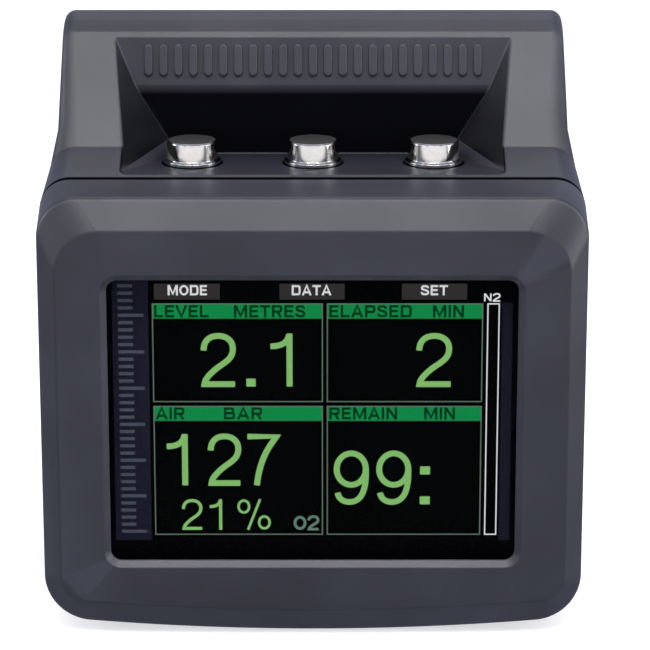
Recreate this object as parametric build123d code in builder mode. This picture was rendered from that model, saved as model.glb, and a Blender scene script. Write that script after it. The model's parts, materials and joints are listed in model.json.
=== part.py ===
from build123d import *

import math
import os

# Wrist dive computer. Millimetres, +Z up towards the push buttons, display facing -Y, +X to the right.
# The origin is at the bottom centre of the whole unit. "Depth" is always measured back from the front face.

# Overall form
total_depth = 38.0
seam_depth = 11.1
seam_gap = 0.7
bottom_arch_radius = 348.0
bottom_corner_radius = 6.5

# Front bezel
bezel_face_half = 32.9
bezel_face_low = 3.7
bezel_face_high = 54.85
bezel_face_top_radius = 5.5
bezel_face_low_radius = 3.3
bezel_edge_half = 35.3
bezel_edge_high = 58.7
bezel_edge_radius = 5.4
bezel_chamfer_depth = 2.5
bezel_face_round = 0.5
bezel_edge_round = 0.9
case_half = 35.5
case_high = 59.15
seam_top_radius = 4.0
wall = 2.3
front_wall_depth = 3.1
cavity_radius = 4.2

# Window and display stack
opening_half = 26.35
opening_low = 10.4
opening_high = 48.3
opening_radius = 1.4
opening_chamfer = 0.8
window_margin = 1.4
window_play = 0.1
gasket_band = 1.1
gasket_depth = 1.0
window_depth = 1.2
window_thickness = 1.8
panel_x = 1.65
panel_z = 30.0
panel_size = (49.0, 39.0)
panel_depth = 3.3
panel_thickness = 1.3
backlight_thickness = 1.6
frame_back_depth = 7.0
frame_wall = 1.0
ear_depth = 6.2
ear_size = 7.0
ear_reach = 32.2

# Hood, deck and button pocket
crest_depth = 34.4
crest_high = 77.1
crest_radius = 7.5
crest_start_angle = 43.0
crest_steps = 5
crest_back_length = 1.4
crest_back_drop = 1.9
crest_back_fall = 0.5
hood_half = 33.6
hood_corner = 1.6
crease_depth = 18.2
crease_high = 61.75
crease_half = 34.75
crease_corner = 3.6
flank_depth = 21.4
flank_half = 33.8
flank_corner = 2.6
back_half = 32.6
back_low = 1.2
back_low_radius = 5.4
deck_high = 59.15
lip_depth = 12.4
pocket_half = 25.1
pocket_side_block = 10.0
pocket_lip_round = 1.0
pocket_overrun = 0.3
pocket_foot_depth = 25.9
pocket_break_depth = 26.7
pocket_break_high = 68.3
pocket_top_depth = 28.75
pocket_top_high = 74.44
pocket_round = 0.6
pocket_inner_round = 0.4
pocket_side_round = 0.2

# Push buttons
button_xs = {"left": -16.0, "middle": 0.0, "right": 16.0}
button_depth = 20.5
button_travel = 1.1
cap_radius = 3.28
cap_foot_radius = 3.45
brim_radius = 3.8
brim_low = deck_high + 0.05
brim_thickness = 0.4
brim_top = brim_low + brim_thickness
cap_foot_rise = 0.25
cap_high = deck_high + 3.1
cap_chamfer = 0.2
cap_bore_radius = 2.75
cap_ceiling = cap_high - 1.2
counterbore_radius = 4.1
counterbore_low = deck_high - 1.65
stem_radius = 1.5
stem_gap = 0.05
guide_clearance = 0.02
guide_radius = 2.5
guide_flange_radius = 3.4
guide_low = 54.0
guide_flange = 0.8
oring_low = 55.1
oring_section = 0.9
oring_inner_radius = 0.8
clip_thickness = 0.4
clip_radius = 2.5
clip_groove_radius = 1.0
stem_low = 51.9
spring_wire = 0.45
spring_radius = 2.12
spring_turns = 4
boss_radius = 4.8
deck_under = 56.4
board_screw_x = 8.0
board_screw_radius = 0.8
board_screw_length = 4.6
board_head_radius = 1.5
board_head_thickness = 1.0
board_boss_radius = 1.9

# Wrist side
wrist_radius = 60.25
wrist_hollow_depth = 30.0
wrist_z = 38.5
cavity_back_depth = 25.0
cover_half = 23.0
cover_low = 18.0
cover_high = 58.0
cover_depth = 27.5
cover_ledge = 3.6
cover_gap = 0.1
cover_radius = 4.0
cover_opening_radius = 2.0
cavity_low = 3.0
cavity_rear_radius = 4.0
strap_slot_half = 15.0
strap_slot_depth = 30.3
upper_slot = (65.5, 75.0)
lower_slot = (2.2, 11.5)
strap_slot_radius = 1.2
pin_bore_radius = 1.25
pin_depth = 33.4
upper_pin_z = 70.5
lower_pin_z = 6.4
foot_half = 20.0
foot_depth = 33.3
foot_width = 7.6
foot_radius = 1.5
foot_high = 2.0

# Fasteners
case_screw_spots = [(-30.4, 15.0), (30.4, 15.0), (-30.4, 52.0), (30.4, 52.0)]
case_boss_radius = 3.2
case_screw_radius = 1.25
case_head_radius = 2.1
case_head_depth = 17.0
case_head_thickness = 2.0
case_screw_tip = 4.4
head_clearance = 0.1
chassis_spots = [(-30.0, 24.0), (30.0, 24.0), (-30.0, 43.0), (30.0, 43.0)]
chassis_boss_radius = 2.2
chassis_screw_radius = 1.0
chassis_head_radius = 1.9
chassis_head_thickness = 1.3
chassis_screw_tip = 4.2
cover_screw_spots = [(-19.9, 21.1), (19.9, 21.1), (-19.9, 54.9), (19.9, 54.9)]
cover_head_radius = 1.9
cover_head_depth = 29.8
cover_head_thickness = 1.4
cover_screw_radius = 1.0
cover_boss_radius = 2.2
screw_end_room = 0.4
screw_play = 0.02

# Boards, battery and sensors
board_depth = 7.6
board_thickness = 1.2
chassis_depth = 11.6
chassis_thickness = 1.0
battery_size = (46.0, 7.0, 32.0)
battery_z = 26.0
button_board_low = 47.6
button_board_thickness = 1.0
button_board_half = 21.5
switch_top = stem_low - button_travel - 0.08
sensor_z = 44.0
contact_z = 25.0
contact_pitch = 5.0
contact_count = 3

front_y = -total_depth / 2


def upright(depth):
    """Vertical plane a given depth behind the front face. Negative extrusions run backwards."""
    return Plane.XZ.offset(-front_y - depth)


def case_section(depth, half_width, low, high, top_radius, low_radius=bottom_corner_radius):
    """Upright cross-section of the case: arched bottom, straight top, rounded corners."""
    arch_rise = bottom_arch_radius - math.sqrt(bottom_arch_radius**2 - half_width**2)
    with BuildSketch(upright(depth)) as section:
        with BuildLine():
            ThreePointArc((-half_width, low + arch_rise), (0, low), (half_width, low + arch_rise))
            Polyline(
                (half_width, low + arch_rise),
                (half_width, high),
                (-half_width, high),
                (-half_width, low + arch_rise),
            )
        make_face()
        fillet(section.vertices().group_by(Axis.Y)[0], radius=low_radius)
        fillet(section.vertices().group_by(Axis.Y)[-1], radius=top_radius)
    return section.sketch


def seam_outline(depth, inset):
    """Case outline at the seam, drawn in by an inset."""
    return case_section(
        depth,
        case_half - inset,
        inset,
        case_high - inset,
        seam_top_radius - inset,
        bottom_corner_radius - inset,
    )


def save(piece, label):
    """Label a finished piece and write it under its own name."""
    piece.part.label = label
    export_step(piece.part, f"parts/{label}.step")


# Hexagonal drive of a screw, as shares of its head's radius and thickness
drive_share = 0.5
drive_depth_share = 0.6


def screws(spots, tip_depth, head_depth, radius, head_radius, head_thickness):
    """Group of identical screws that lie along Y, heads to the back, with a hexagonal drive."""
    with BuildPart() as group:
        for x, z in spots:
            with BuildSketch(upright(tip_depth)):
                with Locations((x, z)):
                    Circle(radius)
            extrude(amount=tip_depth - head_depth)
            with BuildSketch(upright(head_depth)):
                with Locations((x, z)):
                    Circle(head_radius)
            extrude(amount=-head_thickness)
            with BuildSketch(upright(head_depth + head_thickness)):
                with Locations((x, z)):
                    RegularPolygon(head_radius * drive_share, 6)
            extrude(amount=head_thickness * drive_depth_share, mode=Mode.SUBTRACT)
    return group


os.makedirs("parts", exist_ok=True)

# Front bezel: chamfered frame round the window, open to the back
inner_low = wall
inner_high = case_high - wall
inner_half = case_half - wall
bezel_back = seam_depth - seam_gap / 2
boss_skin = 0.6
touch = 0.1
with BuildPart() as front_bezel:
    face = case_section(
        0,
        bezel_face_half,
        bezel_face_low,
        bezel_face_high,
        bezel_face_top_radius,
        bezel_face_low_radius,
    )
    edge = case_section(bezel_chamfer_depth, bezel_edge_half, 0, bezel_edge_high, bezel_edge_radius)
    rear = case_section(bezel_back, case_half, 0, case_high, seam_top_radius)
    loft(sections=[face, edge, rear], ruled=True)
    edge_y = front_y + bezel_chamfer_depth
    fillet(front_bezel.edges().filter_by_position(Axis.Y, edge_y - touch, edge_y + touch), bezel_edge_round)
    fillet(front_bezel.edges().group_by(Axis.Y)[0], bezel_face_round)
    cavity = case_section(bezel_back, inner_half, inner_low, inner_high, cavity_radius, cavity_radius)
    extrude(cavity, amount=bezel_back - front_wall_depth, mode=Mode.SUBTRACT)
    with BuildSketch(upright(0)):
        with Locations((0, (opening_low + opening_high) / 2)):
            RectangleRounded(2 * opening_half, opening_high - opening_low, opening_radius)
    extrude(amount=-front_wall_depth, mode=Mode.SUBTRACT)
    rim = front_bezel.faces().sort_by(Axis.Y)[0].inner_wires()[0].edges()
    chamfer(rim, length=opening_chamfer)
    with BuildSketch(upright(gasket_depth)):
        with Locations((0, (opening_low + opening_high) / 2)):
            RectangleRounded(
                2 * (opening_half + window_margin + window_play),
                opening_high - opening_low + 2 * (window_margin + window_play),
                opening_radius + window_margin,
            )
    extrude(amount=gasket_depth - front_wall_depth, mode=Mode.SUBTRACT)
    with BuildSketch(upright(front_wall_depth)):
        with Locations(*case_screw_spots):
            Circle(case_boss_radius)
    extrude(amount=front_wall_depth - bezel_back)
    with BuildSketch(upright(front_wall_depth)):
        with Locations(*chassis_spots):
            Circle(chassis_boss_radius)
    extrude(amount=front_wall_depth - ear_depth)
    with BuildSketch(upright(front_wall_depth + boss_skin)):
        with Locations(*case_screw_spots):
            Circle(case_screw_radius + screw_play)
        with Locations(*chassis_spots):
            Circle(chassis_screw_radius + screw_play)
    extrude(amount=front_wall_depth - bezel_back, mode=Mode.SUBTRACT)
save(front_bezel, "front_bezel")

# Window and the gasket that beds it against the bezel's lip
opening_z = (opening_low + opening_high) / 2
window_width = 2 * (opening_half + window_margin)
window_height = opening_high - opening_low + 2 * window_margin
with BuildPart() as window_gasket:
    with BuildSketch(upright(gasket_depth)):
        with Locations((0, opening_z)):
            RectangleRounded(window_width, window_height, opening_radius + window_margin - window_play)
            RectangleRounded(
                window_width - 2 * gasket_band,
                window_height - 2 * gasket_band,
                opening_radius + window_margin - gasket_band,
                mode=Mode.SUBTRACT,
            )
    extrude(amount=gasket_depth - window_depth)
save(window_gasket, "window_gasket")

with BuildPart() as bezel_window:
    with BuildSketch(upright(window_depth)):
        with Locations((0, opening_z)):
            RectangleRounded(window_width, window_height, opening_radius + window_margin - window_play)
    extrude(amount=-window_thickness)
save(bezel_window, "bezel_window")

# Flat seal in the seam between the two halves of the case
seal_inset = 0.45
with BuildPart() as main_seal:
    seal_ring = seam_outline(bezel_back, seal_inset) - seam_outline(bezel_back, wall)
    extrude(seal_ring, amount=-seam_gap)
save(main_seal, "main_seal")

# Rear housing: body, ramped hood, crest and strap lugs
housing_front = seam_depth + seam_gap / 2
ramp_foot = (crease_depth, crease_high)
ramp_head = (
    crest_depth - crest_radius * math.sin(math.radians(crest_start_angle)),
    crest_high - crest_radius * (1 - math.cos(math.radians(crest_start_angle))),
)
ramp_slope = (ramp_head[1] - ramp_foot[1]) / (ramp_head[0] - ramp_foot[0])


def ramp_height(depth):
    """Height of the ramp in front of the crest, at a depth."""
    return crease_high + ramp_slope * (depth - crease_depth)


hood_sections = [
    case_section(housing_front, case_half, 0, case_high, seam_top_radius),
    case_section(crease_depth, crease_half, 0, crease_high, crease_corner),
    case_section(flank_depth, flank_half, 0, ramp_height(flank_depth), flank_corner),
]
for step in range(crest_steps + 1):
    angle = math.radians(crest_start_angle) * (1 - step / crest_steps)
    section_depth = crest_depth - crest_radius * math.sin(angle)
    section_high = crest_high - crest_radius * (1 - math.cos(angle))
    hood_sections.append(case_section(section_depth, hood_half, 0, section_high, hood_corner))
hood_sections.append(
    case_section(total_depth - crest_back_length, hood_half, 0, crest_high - crest_back_fall, hood_corner)
)
hood_sections.append(
    case_section(total_depth, back_half, back_low, crest_high - crest_back_drop, hood_corner, back_low_radius)
)


def pocket_facet(side, near, back, top):
    """Plane through three points of the pocket, each given as X, depth and Z, on either side."""
    near_point = Vector(side * near[0], front_y + near[1], near[2])
    back_point = Vector(side * back[0], front_y + back[1], back[2])
    top_point = Vector(side * top[0], front_y + top[1], top[2])
    normal = (back_point - near_point).cross(top_point - near_point)
    return Plane(origin=near_point, z_dir=normal * side)


pocket_tip = (25.19, 15.48, deck_high)
pocket_corner = (19.26, 26.07, 61.12)
pocket_crown = (26.5, pocket_top_depth, pocket_top_high)
pocket_heel = (16.9, pocket_foot_depth, deck_high)
band_lean = (pocket_top_depth - pocket_break_depth) / (pocket_top_high - pocket_break_high)
overrun_high = pocket_top_high + pocket_overrun
lip_y = front_y + lip_depth
section_slack = 0.3


def inside_corner(edge):
    """True for the slanted edges where the pocket's facets meet each other and the walls behind them."""
    centre = edge.center()
    behind = centre.Y - front_y > crease_depth + touch
    between = deck_high + touch < centre.Z < overrun_high - touch
    return behind and between and pocket_heel[0] < abs(centre.X) < pocket_crown[0]


# Room cut out above the deck: side walls, one large facet on each side and a small one below it
with BuildPart() as pocket_room:
    with BuildSketch(Plane.YZ):
        with BuildLine():
            Polyline(
                (lip_y, deck_high),
                (front_y + pocket_foot_depth, deck_high),
                (front_y + pocket_break_depth, pocket_break_high),
                (front_y + pocket_top_depth + band_lean * pocket_overrun, overrun_high),
                (lip_y, overrun_high),
                close=True,
            )
        make_face()
    extrude(amount=hood_half, both=True)
    for side in (-1, 1):
        split(bisect_by=pocket_facet(side, pocket_tip, pocket_corner, pocket_crown), keep=Keep.BOTTOM)
        split(bisect_by=pocket_facet(side, pocket_tip, pocket_heel, pocket_corner), keep=Keep.BOTTOM)
    with BuildSketch(Plane.XY.offset(deck_high)):
        for side in (-1, 1):
            with Locations((side * (pocket_half + pocket_side_block / 2), lip_y)):
                Rectangle(pocket_side_block, 2 * (crease_depth - lip_depth))
    extrude(amount=pocket_side_block, mode=Mode.SUBTRACT)
    lip_edges = pocket_room.edges().filter_by(Axis.Z).filter_by_position(Axis.Y, lip_y - touch, lip_y + touch)
    fillet(lip_edges.filter_by(lambda edge: abs(edge.center().X) < pocket_half + touch), pocket_lip_round)
    fillet(pocket_room.edges().filter_by(inside_corner), pocket_inner_round)


def hood_height(depth):
    """Height of the top surface in front of the crest, at a depth."""
    if depth < crease_depth:
        rise = (crease_high - case_high) / (crease_depth - housing_front)
        return case_high + rise * (depth - housing_front)
    return ramp_height(depth)


def on_hood(edge):
    """True for an edge that lies on the top surface in front of the crest."""
    centre = edge.center()
    return abs(centre.Z - hood_height(centre.Y - front_y)) < touch / 2


def borders_pocket(edge):
    """True for the outer edges of the pocket, where it breaks through the ramp."""
    centre = edge.center()
    depth = centre.Y - front_y
    behind_crease = crease_depth + section_slack < depth < pocket_top_depth + touch
    across = abs(depth - flank_depth) < section_slack
    return on_hood(edge) and behind_crease and not across and abs(centre.X) < pocket_crown[0] + section_slack


def borders_side(edge):
    """True for the outer edges of the pocket's low side walls, between its lip and the crease."""
    centre = edge.center()
    beside = lip_depth + pocket_lip_round < centre.Y - front_y < crease_depth - section_slack
    return on_hood(edge) and beside and abs(centre.X) < pocket_half + touch


wrist_centre_y = front_y + wrist_hollow_depth + wrist_radius


def wrist_round(radius):
    """Cylinder along X that hollows the back to suit the wrist."""
    with BuildPart(mode=Mode.PRIVATE) as roller:
        with BuildSketch(Plane.YZ):
            with Locations((wrist_centre_y, wrist_z)):
                Circle(radius)
        extrude(amount=total_depth, both=True)
    return roller.part


def wrist_surface_depth(z):
    """Depth of the hollow back at a height."""
    return wrist_hollow_depth + wrist_radius - math.sqrt(wrist_radius**2 - (z - wrist_z) ** 2)


cover_z = (cover_low + cover_high) / 2
cover_height = cover_high - cover_low
button_y = front_y + button_depth
button_spots = [(x, button_y) for x in button_xs.values()]
board_screw_spots = [(-board_screw_x, button_y), (board_screw_x, button_y)]
button_board_high = button_board_low + button_board_thickness
with BuildPart() as rear_housing:
    loft(sections=hood_sections, ruled=True)
    with BuildSketch(Plane.XY):
        with Locations((0, front_y + foot_depth)):
            RectangleRounded(2 * foot_half, foot_width, foot_radius)
    extrude(amount=foot_high)
    add(pocket_room.part, mode=Mode.SUBTRACT)
    fillet(rear_housing.edges().filter_by(borders_pocket), pocket_round)
    fillet(rear_housing.edges().filter_by(borders_side), pocket_side_round)
    add(wrist_round(wrist_radius), mode=Mode.SUBTRACT)
    # Room for the boards and the battery
    with BuildSketch(upright(housing_front)):
        with Locations((0, (cavity_low + deck_under) / 2)):
            RectangleRounded(2 * inner_half, deck_under - cavity_low, cavity_rear_radius)
    extrude(amount=housing_front - cavity_back_depth, mode=Mode.SUBTRACT)
    # Bosses for the case screws and the push buttons
    with BuildSketch(upright(housing_front)):
        with Locations(*case_screw_spots):
            Circle(case_boss_radius)
    extrude(amount=housing_front - cavity_back_depth)
    with BuildSketch(Plane.XY.offset(guide_low)):
        with Locations(*button_spots):
            Circle(boss_radius)
    extrude(amount=deck_under - guide_low)
    with BuildSketch(Plane.XY.offset(button_board_high)):
        with Locations(*board_screw_spots):
            Circle(board_boss_radius)
    extrude(amount=deck_under - button_board_high)
    with BuildSketch(Plane.XY.offset(button_board_low)):
        with Locations(*board_screw_spots):
            Circle(board_screw_radius + screw_play)
    extrude(amount=board_screw_length + screw_end_room, mode=Mode.SUBTRACT)
    # Counterbores, guide bores
    with BuildSketch(Plane.XY.offset(counterbore_low)):
        with Locations(*button_spots):
            Circle(counterbore_radius)
    extrude(amount=brim_top - counterbore_low, mode=Mode.SUBTRACT)
    with BuildSketch(Plane.XY.offset(guide_low)):
        with Locations(*button_spots):
            Circle(guide_radius)
    extrude(amount=counterbore_low - guide_low, mode=Mode.SUBTRACT)
    # Case screw bores, counterbored from the back
    with BuildSketch(upright(housing_front)):
        with Locations(*case_screw_spots):
            Circle(case_screw_radius + head_clearance)
    extrude(amount=housing_front - case_head_depth, mode=Mode.SUBTRACT)
    with BuildSketch(upright(case_head_depth)):
        with Locations(*case_screw_spots):
            Circle(case_head_radius + head_clearance)
    extrude(amount=case_head_depth - total_depth, mode=Mode.SUBTRACT)
    # Seat and opening for the rear cover
    with BuildSketch(upright(cover_depth)):
        with Locations((0, cover_z)):
            RectangleRounded(2 * cover_half, cover_height, cover_radius)
    extrude(amount=cover_depth - total_depth, mode=Mode.SUBTRACT)
    opening_half_width = cover_half - cover_ledge
    opening_height = cover_height - 2 * cover_ledge
    with BuildSketch(upright(cavity_back_depth)):
        with Locations((0, cover_z)):
            RectangleRounded(2 * opening_half_width, opening_height, cover_opening_radius)
    extrude(amount=cavity_back_depth - total_depth, mode=Mode.SUBTRACT)
    with BuildSketch(upright(cavity_back_depth)):
        with Locations(*cover_screw_spots):
            Circle(cover_boss_radius)
    extrude(amount=cavity_back_depth - cover_depth)
    with BuildSketch(upright(cavity_back_depth - screw_end_room)):
        with Locations(*cover_screw_spots):
            Circle(cover_screw_radius + screw_play)
    extrude(amount=cavity_back_depth - total_depth, mode=Mode.SUBTRACT)
    # Strap slots and the bores for the strap pins
    for slot_low, slot_high in (upper_slot, lower_slot):
        with BuildSketch(upright(strap_slot_depth)):
            with Locations((0, (slot_low + slot_high) / 2)):
                RectangleRounded(2 * strap_slot_half, slot_high - slot_low, strap_slot_radius)
        extrude(amount=strap_slot_depth - total_depth, mode=Mode.SUBTRACT)
    with BuildSketch(Plane.YZ):
        with Locations((front_y + pin_depth, upper_pin_z), (front_y + pin_depth, lower_pin_z)):
            Circle(pin_bore_radius)
    extrude(amount=case_half, both=True, mode=Mode.SUBTRACT)
save(rear_housing, "rear_housing")

# Rear cover, with the sensor boss inside and a slot for the charge contacts
gasket_groove = 0.7
groove_inset = 0.7
groove_width = 0.8
groove_radius = 3.3
sensor_boss = 3.2
sensor_radius = 3.0
sensor_wall = 1.6
sensor_play = 0.05
sensor_seat_depth = cover_depth + 1.0
port_radius = 1.5
grille_radius = 3.6
grille_play = 0.05
grille_hole = 0.4
grille_hole_ring = 1.5
grille_hole_count = 6
grille_thickness = 0.7
grille_depth = wrist_surface_depth(sensor_z) - 1.0
contact_slot = (contact_pitch * (contact_count - 1) + 7.0, 4.4)
insulator_back = wrist_surface_depth(contact_z) - 0.3


def cover_outline(inset, radius, mode=Mode.ADD):
    """Rounded outline of the rear cover, drawn in by an inset."""
    return RectangleRounded(2 * (cover_half - inset), cover_height - 2 * inset, radius, mode=mode)


with BuildPart() as rear_cover:
    with BuildSketch(upright(cover_depth)):
        with Locations((0, cover_z)):
            cover_outline(cover_gap, cover_radius - cover_gap)
    extrude(amount=cover_depth - total_depth)
    add(wrist_round(wrist_radius), mode=Mode.SUBTRACT)
    with BuildSketch(upright(cover_depth)):
        with Locations((0, sensor_z)):
            Circle(sensor_radius + sensor_wall)
    extrude(amount=sensor_boss)
    with BuildSketch(upright(cover_depth)) as gasket_ring:
        with Locations((0, cover_z)):
            cover_outline(groove_inset, groove_radius)
            cover_outline(groove_inset + groove_width, groove_radius - groove_width, Mode.SUBTRACT)
    extrude(amount=-gasket_groove, mode=Mode.SUBTRACT)
    with BuildSketch(upright(sensor_seat_depth)):
        with Locations((0, sensor_z)):
            Circle(sensor_radius + sensor_play)
    extrude(amount=sensor_seat_depth - cover_depth + sensor_boss, mode=Mode.SUBTRACT)
    with BuildSketch(upright(cover_depth)):
        with Locations((0, sensor_z)):
            Circle(port_radius)
    extrude(amount=cover_depth - total_depth, mode=Mode.SUBTRACT)
    with BuildSketch(upright(grille_depth)):
        with Locations((0, sensor_z)):
            Circle(grille_radius)
    extrude(amount=grille_depth - total_depth, mode=Mode.SUBTRACT)
    with BuildSketch(upright(cover_depth)):
        with Locations(*cover_screw_spots):
            Circle(cover_screw_radius + head_clearance)
        with Locations((0, contact_z)):
            SlotOverall(*contact_slot)
    extrude(amount=cover_depth - total_depth, mode=Mode.SUBTRACT)
    with BuildSketch(upright(cover_head_depth)):
        with Locations(*cover_screw_spots):
            Circle(cover_head_radius + head_clearance)
    extrude(amount=cover_head_depth - total_depth, mode=Mode.SUBTRACT)
save(rear_cover, "rear_cover")

with BuildPart() as rear_cover_gasket:
    extrude(gasket_ring.sketch, amount=-gasket_groove)
save(rear_cover_gasket, "rear_cover_gasket")

rear_cover_screws = screws(
    cover_screw_spots,
    cavity_back_depth + screw_end_room / 2,
    cover_head_depth,
    cover_screw_radius,
    cover_head_radius,
    cover_head_thickness,
)
save(rear_cover_screws, "rear_cover_screws")
case_screws = screws(
    case_screw_spots,
    case_screw_tip,
    case_head_depth,
    case_screw_radius,
    case_head_radius,
    case_head_thickness,
)
save(case_screws, "case_screws")

# Pressure sensor behind its port
sensor_front = cover_depth - sensor_boss
sensor_pin_pitch = 2.4
sensor_pin_size = 0.5
sensor_pin_length = 0.8
oring_thickness = 0.8
oring_outer_play = 0.1
oring_inner_margin = 0.3
with BuildPart() as pressure_sensor:
    with BuildSketch(upright(sensor_front)):
        with Locations((0, sensor_z)):
            Circle(sensor_radius)
    extrude(amount=sensor_front - sensor_seat_depth + oring_thickness)
    with BuildSketch(upright(sensor_front)):
        with Locations((0, sensor_z)):
            with GridLocations(sensor_pin_pitch, sensor_pin_pitch, 2, 2):
                Rectangle(sensor_pin_size, sensor_pin_size)
    extrude(amount=sensor_pin_length)
save(pressure_sensor, "pressure_sensor")

with BuildPart() as pressure_sensor_oring:
    with BuildSketch(upright(sensor_seat_depth)):
        with Locations((0, sensor_z)):
            Circle(sensor_radius - oring_outer_play)
            Circle(port_radius + oring_inner_margin, mode=Mode.SUBTRACT)
    extrude(amount=oring_thickness)
save(pressure_sensor_oring, "pressure_sensor_oring")

with BuildPart() as pressure_port_grille:
    with BuildSketch(upright(grille_depth)):
        with Locations((0, sensor_z)):
            Circle(grille_radius - grille_play)
            Circle(grille_hole, mode=Mode.SUBTRACT)
            with PolarLocations(grille_hole_ring, grille_hole_count):
                Circle(grille_hole, mode=Mode.SUBTRACT)
    extrude(amount=-grille_thickness)
save(pressure_port_grille, "pressure_port_grille")

# Charge contacts moulded into a bar that fills the cover's slot
contact_depth = cover_depth - 1.5
contact_radius = 1.1
contact_tail = 1.2
contact_recess = 0.15
slot_play = 0.04
with BuildPart() as contact_insulator:
    with BuildSketch(upright(contact_depth)):
        with Locations((0, contact_z)):
            SlotOverall(contact_slot[0] - slot_play, contact_slot[1] - slot_play)
            with GridLocations(contact_pitch, 1, contact_count, 1):
                Circle(contact_radius + screw_play, mode=Mode.SUBTRACT)
    extrude(amount=contact_depth - insulator_back)
save(contact_insulator, "contact_insulator")

with BuildPart() as charge_contacts:
    with BuildSketch(upright(contact_depth - contact_tail)):
        with Locations((0, contact_z)):
            with GridLocations(contact_pitch, 1, contact_count, 1):
                Circle(contact_radius)
    extrude(amount=contact_depth - contact_tail - insulator_back - contact_recess)
save(charge_contacts, "charge_contacts")

# Sounder: a thin disc on the cover's inner face, with its ceramic on top
piezo_spot = (12.0, 35.0)
piezo_radius = 5.0
ceramic_radius = 3.6
piezo_sheet = 0.3
with BuildPart() as piezo_sounder:
    with BuildSketch(upright(cover_depth)):
        with Locations(piezo_spot):
            Circle(piezo_radius)
    extrude(amount=piezo_sheet)
    with BuildSketch(upright(cover_depth - piezo_sheet)):
        with Locations(piezo_spot):
            Circle(ceramic_radius)
    extrude(amount=piezo_sheet)
save(piezo_sounder, "piezo_sounder")

# Display: panel, backlight and the tray that carries both
with BuildPart() as lcd_panel:
    with BuildSketch(upright(panel_depth)):
        with Locations((panel_x, panel_z)):
            Rectangle(*panel_size)
    extrude(amount=-panel_thickness)
save(lcd_panel, "lcd_panel")

backlight_depth = panel_depth + panel_thickness
backlight_play = 0.4
backlight_radius = 0.5
with BuildPart() as backlight:
    with BuildSketch(upright(backlight_depth)):
        with Locations((panel_x, panel_z)):
            RectangleRounded(
                panel_size[0] - backlight_play, panel_size[1] - backlight_play, backlight_radius
            )
    extrude(amount=-backlight_thickness)
save(backlight, "backlight")

flex_width = 14.0
flex_slot_height = 4.0
frame_play = 0.4
frame_radius = 1.2
ear_root = 3.6
ear_overlap = 5.0
tray_pocket_depth = backlight_depth + backlight_thickness
with BuildPart() as lcd_frame:
    with BuildSketch(upright(panel_depth)):
        with Locations((panel_x, panel_z)):
            RectangleRounded(
                panel_size[0] + 2 * frame_wall + frame_play,
                panel_size[1] + 2 * frame_wall + frame_play,
                frame_radius,
            )
    extrude(amount=panel_depth - frame_back_depth)
    with BuildSketch(upright(ear_depth)):
        for x, z in chassis_spots:
            with Locations(((x + math.copysign(ear_reach, x)) / 2 - math.copysign(ear_root, x), z)):
                Rectangle(2 * (ear_reach - abs(x)) + ear_overlap, ear_size)
    extrude(amount=ear_depth - board_depth)
    with BuildSketch(upright(panel_depth)):
        with Locations((panel_x, panel_z)):
            Rectangle(panel_size[0] + frame_play, panel_size[1] + frame_play)
    extrude(amount=panel_depth - tray_pocket_depth, mode=Mode.SUBTRACT)
    with BuildSketch(upright(panel_depth)):
        with Locations((panel_x, panel_z - panel_size[1] / 2)):
            Rectangle(flex_width + 2 * frame_play, flex_slot_height)
    extrude(amount=panel_depth - tray_pocket_depth, mode=Mode.SUBTRACT)
    with BuildSketch(upright(ear_depth)):
        with Locations(*chassis_spots):
            Circle(chassis_screw_radius + screw_play)
    extrude(amount=ear_depth - board_depth, mode=Mode.SUBTRACT)
save(lcd_frame, "lcd_frame")

# Main board, its components and the shield can
board_back = board_depth + board_thickness
board_low = 9.5
board_high = 46.5
board_half = 24.8
with BuildPart() as main_board:
    with BuildSketch(upright(board_depth)):
        with Locations((0, (board_low + board_high) / 2)):
            Rectangle(2 * board_half, board_high - board_low)
        for z in (chassis_spots[0][1], chassis_spots[2][1]):
            with Locations((0, z)):
                Rectangle(2 * ear_reach, ear_size)
        with Locations(*chassis_spots):
            Circle(chassis_screw_radius + screw_play, mode=Mode.SUBTRACT)
    extrude(amount=-board_thickness)
save(main_board, "main_board")

# Components as X, Z, width, height and thickness
chip_blocks = [
    (-17.0, 36.0, 7.0, 7.0, 1.2),
    (16.5, 37.0, 5.0, 6.0, 1.1),
    (-17.0, 21.0, 6.0, 5.0, 0.9),
    (16.5, 21.0, 5.0, 5.0, 2.0),
    (0.0, 30.5, 9.0, 9.0, 1.0),
]
small_part_spots = [(-17.0, 28.8), (17.0, 29.2)]
small_part_pitch = (2.0, 2.2)
small_part_size = (1.0, 0.6)
small_part_thickness = 0.6
with BuildPart() as board_components:
    for x, z, width, height, thickness in chip_blocks:
        with BuildSketch(upright(board_back)):
            with Locations((x, z)):
                Rectangle(width, height)
        extrude(amount=-thickness)
    with BuildSketch(upright(board_back)):
        with Locations(*small_part_spots):
            with GridLocations(*small_part_pitch, 4, 2):
                Rectangle(*small_part_size)
    extrude(amount=-small_part_thickness)
save(board_components, "board_components")

shield_height = 2.0
shield_sheet = 0.25
shield_size = (19.0, 17.0)
shield_z = 30.5
shield_radius = 0.8
with BuildPart() as board_shield:
    with BuildSketch(upright(board_back)):
        with Locations((0, shield_z)):
            RectangleRounded(*shield_size, shield_radius)
    extrude(amount=-shield_height)
    with BuildSketch(upright(board_back)):
        with Locations((0, shield_z)):
            RectangleRounded(
                shield_size[0] - 2 * shield_sheet,
                shield_size[1] - 2 * shield_sheet,
                shield_radius - shield_sheet,
            )
    extrude(amount=shield_sheet - shield_height, mode=Mode.SUBTRACT)
save(board_shield, "board_shield")

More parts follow.
